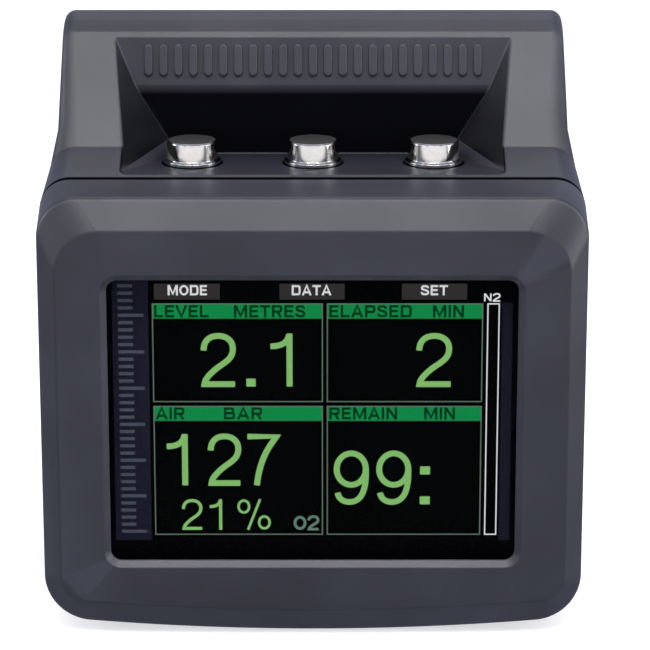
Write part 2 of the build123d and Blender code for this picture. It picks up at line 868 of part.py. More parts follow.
# Chassis plate behind the board, with a tray for the battery
chassis_back = chassis_depth + chassis_thickness
tray_size = (battery_size[0] + 3.0, battery_size[2] + 3.0)
tray_play = 0.6
tray_radius = 1.5
tray_wall_height = 4.0
with BuildPart() as inner_chassis:
    with BuildSketch(upright(chassis_depth)):
        with Locations((0, battery_z)):
            RectangleRounded(*tray_size, tray_radius)
        for z in (chassis_spots[0][1], chassis_spots[2][1]):
            with Locations((0, z)):
                RectangleRounded(2 * ear_reach, ear_size, tray_radius)
    extrude(amount=-chassis_thickness)
    with BuildSketch(upright(chassis_back)):
        with Locations((0, battery_z)):
            RectangleRounded(*tray_size, tray_radius)
            Rectangle(battery_size[0] + tray_play, battery_size[2] + tray_play, mode=Mode.SUBTRACT)
    extrude(amount=-tray_wall_height)
    with BuildSketch(upright(board_back)):
        with Locations(*chassis_spots):
            Circle(chassis_boss_radius)
    extrude(amount=board_back - chassis_depth)
    with BuildSketch(upright(board_back)):
        with Locations(*chassis_spots):
            Circle(chassis_screw_radius + screw_play)
    extrude(amount=board_back - chassis_back, mode=Mode.SUBTRACT)
save(inner_chassis, "inner_chassis")
chassis_screws = screws(
    chassis_spots,
    chassis_screw_tip,
    chassis_back,
    chassis_screw_radius,
    chassis_head_radius,
    chassis_head_thickness,
)
save(chassis_screws, "chassis_screws")

# Battery on a thin foam pad
pad_thickness = 0.5
pad_margin = 2.0
battery_radius = 1.2
battery_edge_round = 1.0
with BuildPart() as battery_pad:
    with BuildSketch(upright(chassis_back)):
        with Locations((0, battery_z)):
            Rectangle(battery_size[0] - 2 * pad_margin, battery_size[2] - 2 * pad_margin)
    extrude(amount=-pad_thickness)
save(battery_pad, "battery_pad")

with BuildPart() as battery_cell:
    with BuildSketch(upright(chassis_back + pad_thickness)):
        with Locations((0, battery_z)):
            RectangleRounded(battery_size[0], battery_size[2], battery_radius)
    extrude(amount=-battery_size[1])
    fillet(battery_cell.edges().group_by(Axis.Y)[-1], radius=battery_edge_round)
save(battery_cell, "battery_cell")

# Button board under the deck, its screws and its switches
button_board_width = 7.0
button_board_radius = 1.0
with BuildPart() as button_board:
    with BuildSketch(Plane.XY.offset(button_board_low)):
        with Locations((0, button_y)):
            RectangleRounded(2 * button_board_half, button_board_width, button_board_radius)
        with Locations(*board_screw_spots):
            Circle(board_screw_radius + screw_play, mode=Mode.SUBTRACT)
    extrude(amount=button_board_thickness)
save(button_board, "button_board")

with BuildPart() as button_board_screws:
    with BuildSketch(Plane.XY.offset(button_board_low)):
        with Locations(*board_screw_spots):
            Circle(board_screw_radius)
    extrude(amount=board_screw_length)
    with BuildSketch(Plane.XY.offset(button_board_low)):
        with Locations(*board_screw_spots):
            Circle(board_head_radius)
    extrude(amount=-board_head_thickness)
save(button_board_screws, "button_board_screws")

switch_size = 4.4
switch_body_height = 1.6
switch_plunger_radius = 1.0
with BuildPart() as tact_switches:
    with BuildSketch(Plane.XY.offset(button_board_high)):
        with Locations(*button_spots):
            Rectangle(switch_size, switch_size)
    extrude(amount=switch_body_height)
    with BuildSketch(Plane.XY.offset(button_board_high)):
        with Locations(*button_spots):
            Circle(switch_plunger_radius)
    extrude(amount=switch_top - button_board_high)
save(tact_switches, "tact_switches")


flex_bend_radius = 0.8
flex_thickness = 0.2
flex_gap = 0.1
button_flex_width = 8.0


def flex(points, centre_x, width):
    """Flat flexible circuit bent along a path given as depths and heights."""
    with BuildPart() as strip:
        with BuildSketch(Plane.YZ.offset(centre_x - width / 2)):
            with BuildLine():
                FilletPolyline(*[(front_y + depth, z) for depth, z in points], radius=flex_bend_radius)
            trace(line_width=flex_thickness)
        extrude(amount=width)
    return strip


flex_line = board_back + flex_gap
panel_foot = panel_z - panel_size[1] / 2
display_flex_depth = 4.0
display_flex_low = 8.4
display_flex_end = 14.0
display_flex = flex(
    [
        (display_flex_depth, panel_foot),
        (display_flex_depth, display_flex_low),
        (flex_line, display_flex_low),
        (flex_line, display_flex_end),
    ],
    panel_x,
    flex_width,
)
save(display_flex, "display_flex")
board_under = button_board_low - flex_gap
button_flex_depth = 18.5
button_flex_end = 41.0
button_flex = flex(
    [
        (button_flex_depth, board_under),
        (flex_line, board_under),
        (flex_line, button_flex_end),
    ],
    0,
    button_flex_width,
)
save(button_flex, "button_flex")


# Push buttons: everything is turned about the button's own upright axis
clip_mouth = 1.7


def button_plane(x):
    """Upright plane through a button's axis, for profiles given as radius and height."""
    return Plane(origin=(x, button_y, 0), x_dir=(1, 0, 0), z_dir=(0, -1, 0))


oring_high = oring_low + oring_section
guide_foot = guide_low - guide_flange
clip_high = guide_foot - stem_gap
clip_low = clip_high - clip_thickness
cap_profile = [
    (0, cap_high),
    (cap_radius - cap_chamfer, cap_high),
    (cap_radius, cap_high - cap_chamfer),
    (cap_foot_radius, brim_top + cap_foot_rise),
    (brim_radius, brim_top),
    (brim_radius, brim_low),
    (cap_bore_radius, brim_low),
    (cap_bore_radius, cap_ceiling),
    (stem_radius, cap_ceiling),
    (stem_radius, oring_high),
    (oring_inner_radius, oring_high),
    (oring_inner_radius, oring_low),
    (stem_radius, oring_low),
    (stem_radius, clip_high),
    (clip_groove_radius, clip_high),
    (clip_groove_radius, clip_low),
    (stem_radius, clip_low),
    (stem_radius, stem_low),
    (0, stem_low),
]
for side, button_x in button_xs.items():
    with BuildPart() as button_cap:
        with BuildSketch(button_plane(button_x)):
            with BuildLine():
                Polyline(*cap_profile, close=True)
            make_face()
        revolve(axis=Axis((button_x, button_y, 0), (0, 0, 1)))
    save(button_cap, f"button_cap_{side}")

    with BuildPart() as button_oring:
        with BuildSketch(button_plane(button_x)):
            with Locations(((oring_inner_radius + stem_radius) / 2, (oring_low + oring_high) / 2)):
                Circle((stem_radius - oring_inner_radius) / 2)
        revolve(axis=Axis((button_x, button_y, 0), (0, 0, 1)))
    save(button_oring, f"button_oring_{side}")

    with BuildPart() as button_clip:
        with BuildSketch(Plane.XY.offset(clip_low)):
            with Locations((button_x, button_y)):
                Circle(clip_radius)
                Circle(clip_groove_radius, mode=Mode.SUBTRACT)
            with Locations((button_x, button_y + clip_radius)):
                Rectangle(clip_mouth, 2 * clip_radius, mode=Mode.SUBTRACT)
        extrude(amount=clip_thickness)
    save(button_clip, f"button_clip_{side}")

    with BuildPart() as button_guide:
        with BuildSketch(Plane.XY.offset(guide_foot)):
            with Locations((button_x, button_y)):
                Circle(guide_flange_radius)
        extrude(amount=guide_flange)
        with BuildSketch(Plane.XY.offset(guide_low)):
            with Locations((button_x, button_y)):
                Circle(guide_radius)
        extrude(amount=counterbore_low - guide_low)
        with BuildSketch(Plane.XY.offset(guide_foot)):
            with Locations((button_x, button_y)):
                Circle(stem_radius + guide_clearance)
        extrude(amount=counterbore_low - guide_foot, mode=Mode.SUBTRACT)
    save(button_guide, f"button_guide_{side}")

    spring_height = cap_ceiling - counterbore_low - spring_wire
    spring_foot = counterbore_low + spring_wire / 2
    with BuildPart() as button_spring:
        with BuildLine():
            Helix(
                pitch=spring_height / spring_turns,
                height=spring_height,
                radius=spring_radius,
                center=(button_x, button_y, spring_foot),
            )
        with BuildSketch(
            Plane(origin=(button_x + spring_radius, button_y, spring_foot), z_dir=(0, 1, 0))
        ):
            Circle(spring_wire / 2)
        sweep(is_frenet=True)
    save(button_spring, f"button_spring_{side}")
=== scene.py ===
"""Looks of the wrist dive computer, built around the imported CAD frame. Metres, display facing -Y, +Z up."""
import json
import math

import bmesh
import bpy
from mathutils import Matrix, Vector


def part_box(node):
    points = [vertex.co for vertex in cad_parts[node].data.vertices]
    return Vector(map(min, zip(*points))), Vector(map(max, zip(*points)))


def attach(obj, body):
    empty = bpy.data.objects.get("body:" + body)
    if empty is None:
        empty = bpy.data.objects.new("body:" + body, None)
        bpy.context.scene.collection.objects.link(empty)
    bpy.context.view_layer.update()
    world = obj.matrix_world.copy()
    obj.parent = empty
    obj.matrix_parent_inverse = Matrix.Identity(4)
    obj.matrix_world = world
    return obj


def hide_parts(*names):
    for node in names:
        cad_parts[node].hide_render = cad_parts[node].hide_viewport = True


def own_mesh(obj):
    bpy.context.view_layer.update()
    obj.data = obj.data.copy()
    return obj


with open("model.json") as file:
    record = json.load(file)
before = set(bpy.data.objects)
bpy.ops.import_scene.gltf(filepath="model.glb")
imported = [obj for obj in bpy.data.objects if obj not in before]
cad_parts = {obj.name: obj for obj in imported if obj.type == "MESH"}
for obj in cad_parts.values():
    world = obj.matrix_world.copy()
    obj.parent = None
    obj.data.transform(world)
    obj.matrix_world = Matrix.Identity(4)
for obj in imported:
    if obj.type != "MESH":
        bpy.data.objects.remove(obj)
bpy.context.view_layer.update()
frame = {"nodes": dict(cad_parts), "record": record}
nodes = frame["nodes"]
MM = 0.001
SIDES = ("left", "middle", "right")

# ---------------------------------------------------------------- places taken from the frame
bezel_low, bezel_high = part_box("front_bezel")
housing_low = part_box("rear_housing")[0]
panel_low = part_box("lcd_panel")[0]
window_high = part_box("bezel_window")[1]
cap_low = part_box("button_cap_middle")[0]
front_y = bezel_low.y
seam_front = bezel_high.y
seam_back = housing_low.y

# The pocket under the hood: its deck, the foot of its slanted band, its depth and half its width
DECK_Z = cap_low.z + 7.25 * MM
BAND_Z = 68.3 * MM
POCKET_FRONT = front_y + 13.0 * MM
POCKET_BACK = front_y + 27.0 * MM
POCKET_HALF = 25.0 * MM
# The hood's crown, where the pocket's side facets end
CROWN_Z = 74.6 * MM
CROWN_Y = front_y + 28.9 * MM
CROWN_HALF = 26.6 * MM
# The painted shade in the deck's rear corner lies between the outer buttons only
CREASE_HALF = 18.0 * MM
# How far the painted shade of the seam reaches over its two lips, and how fast it ends
SEAM_REACH = 0.26 * MM
SEAM_FADE = 0.06 * MM
# Share of its sheen that plastic keeps under full painted shade, where little light reaches
SHEEN_IN_PAINTED_SHADE = 0.04


# ---------------------------------------------------------------- node helpers
class Shader:
    """Small helper that wires a node tree in reading order."""

    def __init__(self, name):
        self.material = bpy.data.materials.new(name)
        self.material.use_nodes = True
        self.tree = self.material.node_tree
        self.tree.nodes.clear()
        self.output = self.tree.nodes.new("ShaderNodeOutputMaterial")
        self.bsdf = self.add("ShaderNodeBsdfPrincipled")
        self.link(self.bsdf.outputs["BSDF"], self.output.inputs["Surface"])
        self.coords = self.add("ShaderNodeTexCoord").outputs["Object"]

    def add(self, kind, **settings):
        node = self.tree.nodes.new(kind)
        for key, value in settings.items():
            setattr(node, key, value)
        return node

    def link(self, source, target):
        self.tree.links.new(source, target)

    def set(self, **values):
        for key, value in values.items():
            self.bsdf.inputs[key.replace("_", " ")].default_value = value

    def noise(self, scale, detail=3.0, roughness=0.5, stretch=None):
        """Noise in object space. Scale is in features per metre."""
        texture = self.add("ShaderNodeTexNoise")
        texture.inputs["Scale"].default_value = scale
        texture.inputs["Detail"].default_value = detail
        texture.inputs["Roughness"].default_value = roughness
        source = self.coords
        if stretch:
            mapping = self.add("ShaderNodeMapping")
            mapping.inputs["Scale"].default_value = stretch
            self.link(source, mapping.inputs["Vector"])
            source = mapping.outputs["Vector"]
        self.link(source, texture.inputs["Vector"])
        return texture.outputs["Fac"]

    def ramp(self, source, stops):
        """Colour ramp. Stops are (position, rgb)."""
        node = self.add("ShaderNodeValToRGB")
        while len(node.color_ramp.elements) < len(stops):
            node.color_ramp.elements.new(0.5)
        for element, (position, colour) in zip(node.color_ramp.elements, stops):
            element.position = position
            element.color = (*colour, 1.0)
        self.link(source, node.inputs["Fac"])
        return node.outputs["Color"]

    def spread(self, source, low, high, from_low=0.3, from_high=0.7):
        """Maps a number from one range onto another and holds it at the ends. The first suits a noise."""
        node = self.add("ShaderNodeMapRange")
        node.inputs["From Min"].default_value = from_low
        node.inputs["From Max"].default_value = from_high
        node.inputs["To Min"].default_value = low
        node.inputs["To Max"].default_value = high
        self.link(source, node.inputs["Value"])
        return node.outputs["Result"]

    def mix(self, factor, first, second, blend="MIX"):
        """Blends two colours or grey values."""
        node = self.add("ShaderNodeMix", data_type="RGBA", blend_type=blend)
        if isinstance(factor, float):
            node.inputs["Factor"].default_value = factor
        else:
            self.link(factor, node.inputs["Factor"])
        for value, socket in ((first, node.inputs[6]), (second, node.inputs[7])):
            if isinstance(value, tuple):
                socket.default_value = (*value, 1.0)
            else:
                self.link(value, socket)
        return node.outputs[2]

    def bumps(self, layers, edge_radius=None):
        """Chain of bump nodes. Layers are (height source, depth in metres)."""
        normal = None
        if edge_radius:
            bevel = self.add("ShaderNodeBevel", samples=6)
            bevel.inputs["Radius"].default_value = edge_radius
            normal = bevel.outputs["Normal"]
        for height, depth in layers:
            bump = self.add("ShaderNodeBump")
            bump.inputs["Strength"].default_value = 1.0
            bump.inputs["Distance"].default_value = depth
            self.link(height, bump.inputs["Height"])
            if normal:
                self.link(normal, bump.inputs["Normal"])
            normal = bump.outputs["Normal"]
        if normal:
            self.link(normal, self.bsdf.inputs["Normal"])


def product(shader, first, *others):
    """Product of several numbers."""
    for other in others:
        node = shader.add("ShaderNodeMath", operation="MULTIPLY")
        shader.link(first, node.inputs[0])
        shader.link(other, node.inputs[1])
        first = node.outputs["Value"]
    return first


def size_of(shader, value):
    """A number without its sign."""
    node = shader.add("ShaderNodeMath", operation="ABSOLUTE")
    shader.link(value, node.inputs[0])
    return node.outputs["Value"]


def largest(shader, first, second):
    """The larger of two numbers."""
    node = shader.add("ShaderNodeMath", operation="MAXIMUM")
    shader.link(first, node.inputs[0])
    shader.link(second, node.inputs[1])
    return node.outputs["Value"]


def rises(shader, value, start, reach):
    """Zero up to start, then up to one over the reach."""
    return shader.spread(value, 0.0, 1.0, start, start + reach)


def falls(shader, value, start, reach):
    """One up to start, then down to zero over the reach."""
    return shader.spread(value, 1.0, 0.0, start, start + reach)


def painted_shade_mask(shader):
    """How much shade is painted at a point: one on the pocket's back wall and in the seam, less on the
    facets, some along the deck's rear corner.
    """
    place = shader.add("ShaderNodeSeparateXYZ")
    shader.link(shader.coords, place.inputs["Vector"])
    facing = shader.add("ShaderNodeSeparateXYZ")
    shader.link(shader.add("ShaderNodeNewGeometry").outputs["Normal"], facing.inputs["Vector"])
    depth, height = place.outputs["Y"], place.outputs["Z"]
    width = size_of(shader, place.outputs["X"])
    upward = facing.outputs["Z"]

    # Painted shade on the pocket's back wall
    behind_lip = rises(shader, depth, POCKET_FRONT, 2 * MM)
    before_back = falls(shader, depth, POCKET_BACK, 0.4 * MM)
    above_deck = rises(shader, height, DECK_Z, 0.6 * MM)
    below_band = falls(shader, height, BAND_Z - 1.2 * MM, 1.4 * MM)
    within = falls(shader, width, POCKET_HALF, 0.4 * MM)
    upright = falls(shader, upward, 0.42, 0.18)
    wall = product(shader, behind_lip, before_back, above_deck, below_band, upright, within)

    # Painted shade on the pocket's side facets, lighter higher up
    sideways = rises(shader, size_of(shader, facing.outputs["X"]), 0.60, 0.08)
    inside_top = falls(shader, height, CROWN_Z - 0.6 * MM, 0.6 * MM)
    inside_back = falls(shader, depth, CROWN_Y, 0.4 * MM)
    inside_crown = falls(shader, width, CROWN_HALF, 0.3 * MM)
    fading = shader.spread(height, 0.85, 0.35, DECK_Z + 5 * MM, CROWN_Z)
    facet = product(shader, behind_lip, above_deck, sideways, inside_top, inside_back, inside_crown, fading)

    # Painted shade in the seam between bezel and housing, reaching a little over both lips
    past_front = rises(shader, depth, seam_front - SEAM_REACH, SEAM_FADE)
    before_rear = falls(shader, depth, seam_back + SEAM_REACH - SEAM_FADE, SEAM_FADE)
    groove = product(shader, past_front, before_rear)

    # Painted shade along the deck's rear corner
    leaving_deck = rises(shader, height, DECK_Z + 0.02 * MM, 0.18 * MM)
    near_deck = falls(shader, height, DECK_Z + 0.6 * MM, 0.3 * MM)
    rounded = falls(shader, upward, 0.85, 0.10)
    between_facets = falls(shader, width, CREASE_HALF - MM, 2 * MM)
    crease = product(shader, behind_lip, before_back, leaving_deck, near_deck, rounded, between_facets)
    return largest(shader, largest(shader, wall, facet), largest(shader, groove, crease))


def moulded_plastic(name, colour, roughness=0.45, paint_shade=False):
    """Spark-eroded moulded plastic: fine grain, faint mottling, slightly polished edges. Optionally shade is
    painted into the pocket under the hood and into the seam.
    """
    shader = Shader(name)
    mottle = shader.noise(70.0, 5.0, 0.6)
    speckle = shader.noise(5200.0, 2.0, 0.6)
    dark = tuple(c * 0.75 for c in colour)
    light = tuple(c * 1.3 for c in colour)
    base = shader.ramp(mottle, [(0.35, dark), (0.65, light)])
    fine = shader.ramp(speckle, [(0.3, (0.7, 0.7, 0.7)), (0.7, (1.0, 1.0, 1.0))])
    base = shader.mix(0.6, base, fine, "MULTIPLY")
    pointy = shader.add("ShaderNodeNewGeometry").outputs["Pointiness"]
    edge = shader.spread(pointy, 0.0, 0.5, 0.51, 0.58)
    worn = tuple(c * 3.0 + 0.006 for c in colour)
    base = shader.mix(edge, base, worn)
    rough = shader.spread(speckle, roughness - 0.03, roughness + 0.04)
    level = shader.spread(mottle, 0.47, 0.53)
    # Painted shade: darker base colour and less sheen in the pocket under the hood and in the seam
    if paint_shade:
        mask = painted_shade_mask(shader)
        base = shader.mix(mask, base, tuple(c * 0.15 for c in colour))
        shade = shader.spread(mask, 1.0, SHEEN_IN_PAINTED_SHADE, 0.0, 1.0)
        level = product(shader, level, shade)
    shader.link(level, shader.bsdf.inputs["Specular IOR Level"])
    shader.link(base, shader.bsdf.inputs["Base Color"])
    shader.link(rough, shader.bsdf.inputs["Roughness"])
    shader.bumps([(speckle, 1.6e-6), (mottle, 1.0e-5)], 2.5e-4)
    return shader


def rubber(name, colour):
    """Matt seal rubber with a fine grain."""
    shader = Shader(name)
    fine = shader.noise(4000.0, 2.0)
    base = shader.ramp(fine, [(0.3, tuple(c * 0.7 for c in colour)), (0.7, colour)])
    shader.link(base, shader.bsdf.inputs["Base Color"])
    shader.link(shader.spread(fine, 0.55, 0.75), shader.bsdf.inputs["Roughness"])
    shader.bumps([(fine, 6e-6)])
    return shader


RING_FREQUENCY = 60000.0


def polished_steel(name, centre):
    """Turned stainless cap: fine rings on its flat top, mirror sides with faint handling marks."""
    shader = Shader(name)
    offset = shader.add("ShaderNodeVectorMath", operation="SUBTRACT")
    offset.inputs[1].default_value = centre
    shader.link(shader.coords, offset.inputs[0])
    flat = shader.add("ShaderNodeVectorMath", operation="MULTIPLY")
    flat.inputs[1].default_value = (1.0, 1.0, 0.0)
    shader.link(offset.outputs["Vector"], flat.inputs[0])
    radius = shader.add("ShaderNodeVectorMath", operation="LENGTH")
    shader.link(flat.outputs["Vector"], radius.inputs[0])
    scaled = shader.add("ShaderNodeMath", operation="MULTIPLY")
    scaled.inputs[1].default_value = RING_FREQUENCY
    shader.link(radius.outputs["Value"], scaled.inputs[0])
    rings = shader.add("ShaderNodeMath", operation="SINE")
    shader.link(scaled.outputs["Value"], rings.inputs[0])
    ring_height = shader.spread(rings.outputs["Value"], 0.0, 1.0, -1.0, 1.0)
    parts = shader.add("ShaderNodeSeparateXYZ")
    shader.link(shader.add("ShaderNodeNewGeometry").outputs["Normal"], parts.inputs["Vector"])
    on_top = rises(shader, parts.outputs["Z"], 0.90, 0.09)
    marks = shader.noise(900.0, 5.0, 0.7)
    base = shader.ramp(marks, [(0.3, (0.42, 0.41, 0.39)), (0.7, (0.50, 0.49, 0.46))])
    shader.link(base, shader.bsdf.inputs["Base Color"])
    shader.set(Metallic=1.0)
    side_rough = shader.spread(marks, 0.08, 0.13)
    rough = shader.mix(on_top, side_rough, (0.32, 0.32, 0.32))
    shader.link(rough, shader.bsdf.inputs["Roughness"])
    shader.bumps([(product(shader, ring_height, on_top), 1.5e-6), (marks, 2e-7)], 1.2e-4)
    return shader


def satin_metal(name, colour, roughness=0.3):
    """Plain metal with fine streaks along its height."""
    shader = Shader(name)
    streaks = shader.noise(1500.0, 4.0, 0.6, stretch=(1.0, 1.0, 12.0))
    base = shader.ramp(streaks, [(0.3, tuple(c * 0.8 for c in colour)), (0.7, colour)])
    shader.link(base, shader.bsdf.inputs["Base Color"])
    shader.set(Metallic=1.0)
    shader.link(shader.spread(streaks, roughness - 0.06, roughness + 0.08), shader.bsdf.inputs["Roughness"])
    shader.bumps([(streaks, 2e-6)], 1e-4)
    return shader


def plain_detail(name, colour, roughness=0.5, scale=1200.0, grain=4e-6):
    """Small inner pieces: mottled colour and roughness at their own scale. Grain is its depth in metres."""
    shader = Shader(name)
    fine = shader.noise(scale, 4.0)
    base = shader.ramp(fine, [(0.3, tuple(c * 0.75 for c in colour)), (0.7, colour)])
    shader.link(base, shader.bsdf.inputs["Base Color"])
    shader.link(shader.spread(fine, roughness - 0.08, roughness + 0.08), shader.bsdf.inputs["Roughness"])
    shader.bumps([(fine, grain)])
    return shader


def bonded(name, colour):
    """Printed or black layer bonded to the window, so it has no reflection of its own."""
    shader = plain_detail(name, colour, 0.55, 3000.0, grain=1e-7)
    shader.set(Specular_IOR_Level=0.0)
    return shader


def window_glass(name):
    """Clear coated window with a faint unevenness in its tint."""
    shader = Shader(name)
    smear = shader.noise(60.0, 5.0, 0.7)
    tint = shader.ramp(smear, [(0.3, (0.95, 0.965, 0.99)), (0.7, (0.98, 0.985, 1.0))])
    shader.link(tint, shader.bsdf.inputs["Base Color"])
    shader.set(Transmission_Weight=1.0, IOR=1.5, Roughness=0.0)
    shader.set(Specular_Tint=(0.012, 0.012, 0.016, 1.0))
    return shader


def lit(name, colour):
    """Lit part of the display, with the slight unevenness of real pixels."""
    shader = Shader(name)
    cells = shader.noise(4000.0, 1.0)
    glow = shader.ramp(cells, [(0.3, tuple(c * 0.85 for c in colour)), (0.7, colour)])
    shader.link(glow, shader.bsdf.inputs["Emission Color"])
    shader.set(Base_Color=(0.0, 0.0, 0.0, 1.0), Roughness=0.6, Specular_IOR_Level=0.0)
    shader.set(Emission_Strength=1.0)
    return shader


# The case plastic carries painted shade in the pocket and the seam
case_plastic = moulded_plastic("moulded_case", (0.0072, 0.0078, 0.0122), paint_shade=True).material
cover_plastic = moulded_plastic("moulded_cover", (0.009, 0.0095, 0.012), roughness=0.4).material
glass = window_glass("clear_window").material
seal_rubber = rubber("seal_rubber", (0.012, 0.012, 0.013)).material
hardware = satin_metal("hardware_steel", (0.60, 0.59, 0.57)).material
finishes = {
    "case_plastic": case_plastic,
    "window_glass": glass,
    "seal_rubber": seal_rubber,
    "hardware_steel": hardware,
    "guide_plastic": plain_detail("guide_plastic", (0.26, 0.25, 0.21), 0.45).material,
    "display": bonded("display_black", (0.0003, 0.0004, 0.0003)).material,
    "backlight_white": plain_detail("backlight_white", (0.7, 0.71, 0.74), 0.4).material,
    "inner_plastic": plain_detail("inner_plastic", (0.035, 0.035, 0.037), 0.5).material,
    "board_green": plain_detail("board_green", (0.006, 0.055, 0.020), 0.3).material,
    "chip_black": plain_detail("chip_black", (0.012, 0.012, 0.012), 0.55).material,
    "shield_tin": satin_metal("shield_tin", (0.62, 0.61, 0.58), 0.35).material,
    "flex_amber": plain_detail("flex_amber", (0.35, 0.12, 0.015), 0.3).material,
    "battery_foil": satin_metal("battery_foil", (0.68, 0.69, 0.71), 0.4).material,
    "foam": plain_detail("foam", (0.02, 0.02, 0.02), 0.9, 2500.0).material,
    "contact_gold": satin_metal("contact_gold", (0.78, 0.52, 0.20), 0.22).material,
}


def dress(node, material):
    """Gives every face of a CAD node one material."""
    for slot in nodes[node].material_slots:
        slot.material = material


for entry in frame["record"]["subparts"]:
    if entry["material_slot"] in finishes:
        dress(entry["node"], finishes[entry["material_slot"]])
dress("rear_cover", cover_plastic)
for side in SIDES:
    low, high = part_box("button_cap_" + side)
    centre = ((low.x + high.x) / 2, (low.y + high.y) / 2, 0.0)
    dress("button_cap_" + side, polished_steel("button_steel_" + side, centre).material)

# Light reaches the picture and its mask straight through the clear window
nodes["bezel_window"].visible_shadow = False
nodes["bezel_window"].visible_diffuse = False

# Small steps between faces are shaded as one curved surface, larger ones stay crisp
SMOOTH_ANGLE = math.radians(16.0)
for name in ("front_bezel", "rear_housing", "rear_cover"):
    join = nodes[name].modifiers.new("join_faces", "WELD")
    join.merge_threshold = 1e-6
    split = nodes[name].modifiers.new("split_edges", "EDGE_SPLIT")
    split.split_angle = SMOOTH_ANGLE
    even = nodes[name].modifiers.new("even_faces", "WEIGHTED_NORMAL")
    even.keep_sharp = True
    even.weight = 80

# ---------------------------------------------------------------- lettering and graphics of the display
SCREEN_Y = panel_low.y - 0.02 * MM
INK_Y = SCREEN_Y - 0.02 * MM
LAYER = 0.01 * MM
lit_green = lit("lit_green", (0.225, 0.50, 0.145)).material
lit_header = lit("lit_header", (0.006, 0.25, 0.062)).material
lit_frame = lit("lit_frame", (0.10, 0.15, 0.11)).material
lit_tab = lit("lit_tab", (0.031, 0.028, 0.028)).material
lit_white = lit("lit_white", (0.75, 0.75, 0.75)).material
lit_dim = lit("lit_dim", (0.11, 0.20, 0.15)).material
header_ink = lit("header_ink", (0.001, 0.035, 0.010)).material


def piece_from(name, bm, material):
    """Turns a bmesh in metres into a piece that rides on the housing."""
    mesh = bpy.data.meshes.new(name)
    bmesh.ops.recalc_face_normals(bm, faces=bm.faces)
    bm.to_mesh(mesh)
    bm.free()
    obj = bpy.data.objects.new(name, mesh)
    bpy.context.scene.collection.objects.link(obj)
    mesh.materials.append(material)
    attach(obj, "housing")
    return obj


def add_slab(bm, x0, x1, z0, z1, y_back, thickness):
    """Thin box in the XZ plane that stands forward of y_back. Millimetres for x and z, metres for y."""
    corners = [(x0, z0), (x1, z0), (x1, z1), (x0, z1)]
    back = [bm.verts.new((x * MM, y_back, z * MM)) for x, z in corners]
    front = [bm.verts.new((x * MM, y_back - thickness, z * MM)) for x, z in corners]
    bm.faces.new(back)
    bm.faces.new(front[::-1])
    for i in range(4):
        j = (i + 1) % 4
        bm.faces.new((back[i], front[i], front[j], back[j]))


def slabs(name, boxes, material, y_back=SCREEN_Y):
    """One piece of several thin boxes, each (x0, x1, z0, z1) in millimetres."""
    bm = bmesh.new()
    for x0, x1, z0, z1 in boxes:
        add_slab(bm, x0, x1, z0, z1, y_back, LAYER)
    piece_from(name, bm, material)


def bezier(p0, p1, p2, p3, steps=12):
    """Points along one cubic, without its first point."""
    points = []
    for i in range(1, steps + 1):
        t = i / steps
        a, b, c, d = (1 - t) ** 3, 3 * t * (1 - t) ** 2, 3 * t * t * (1 - t), t**3
        points.append(tuple(a * q0 + b * q1 + c * q2 + d * q3 for q0, q1, q2, q3 in zip(p0, p1, p2, p3)))
    return points


def oval(cx, cy, rx, ry, steps=28):
    """Closed ring of points around an ellipse."""
    return [
        (cx + rx * math.cos(2 * math.pi * i / steps), cy + ry * math.sin(2 * math.pi * i / steps))
        for i in range(steps + 1)
    ]


def glyph(character):
    """Centre lines of a numeral or sign in a cell one unit high, and the cell's width."""
    if character == "1":
        flag = [(0.03, 0.76)] + bezier((0.03, 0.76), (0.22, 0.76), (0.33, 0.82), (0.36, 0.99))
        return [flag, [(0.36, 1.0), (0.36, 0.0)]], 0.42
    if character == "2":
        path = [(0.05, 0.68)]
        path += bezier((0.05, 0.68), (0.05, 0.86), (0.15, 0.955), (0.315, 0.955))
        path += bezier((0.315, 0.955), (0.47, 0.955), (0.575, 0.86), (0.575, 0.71))
        path += bezier((0.575, 0.71), (0.575, 0.48), (0.36, 0.44), (0.20, 0.27))
        path += bezier((0.20, 0.27), (0.12, 0.19), (0.07, 0.13), (0.06, 0.045))
        path += [(0.61, 0.045)]
        return [path], 0.63
    if character == "7":
        path = [(0.03, 0.95), (0.57, 0.95)]
        path += bezier((0.57, 0.95), (0.38, 0.72), (0.24, 0.42), (0.20, 0.0))
        return [path], 0.60
    if character == "9":
        tail = [(0.555, 0.66)]
        tail += bezier((0.555, 0.66), (0.57, 0.24), (0.47, 0.045), (0.28, 0.045))
        tail += bezier((0.28, 0.045), (0.16, 0.045), (0.09, 0.11), (0.07, 0.22))
        return [oval(0.305, 0.66, 0.25, 0.295), tail], 0.61
    if character == "%":
        rings = [oval(0.20, 0.76, 0.155, 0.195), oval(0.80, 0.24, 0.155, 0.195)]
        return rings + [[(0.68, 1.0), (0.32, 0.0)]], 1.0
    if character == ":":
        return [[(0.08, 0.0), (0.08, 0.15)], [(0.08, 0.56), (0.08, 0.71)]], 0.16
    return [[(0.08, 0.0), (0.08, 0.15)]], 0.16


def bowl(right, top, bottom):
    """Round of a letter such as D or P, from its stem and back."""
    turn = right * 0.55
    upper = bezier((turn, top), (right, top), (right, top), (right, (top + bottom) / 2))
    lower = bezier((right, (top + bottom) / 2), (right, bottom), (right, bottom), (turn, bottom))
    return [(0.1, top), (turn, top)] + upper + lower + [(0.1, bottom)]


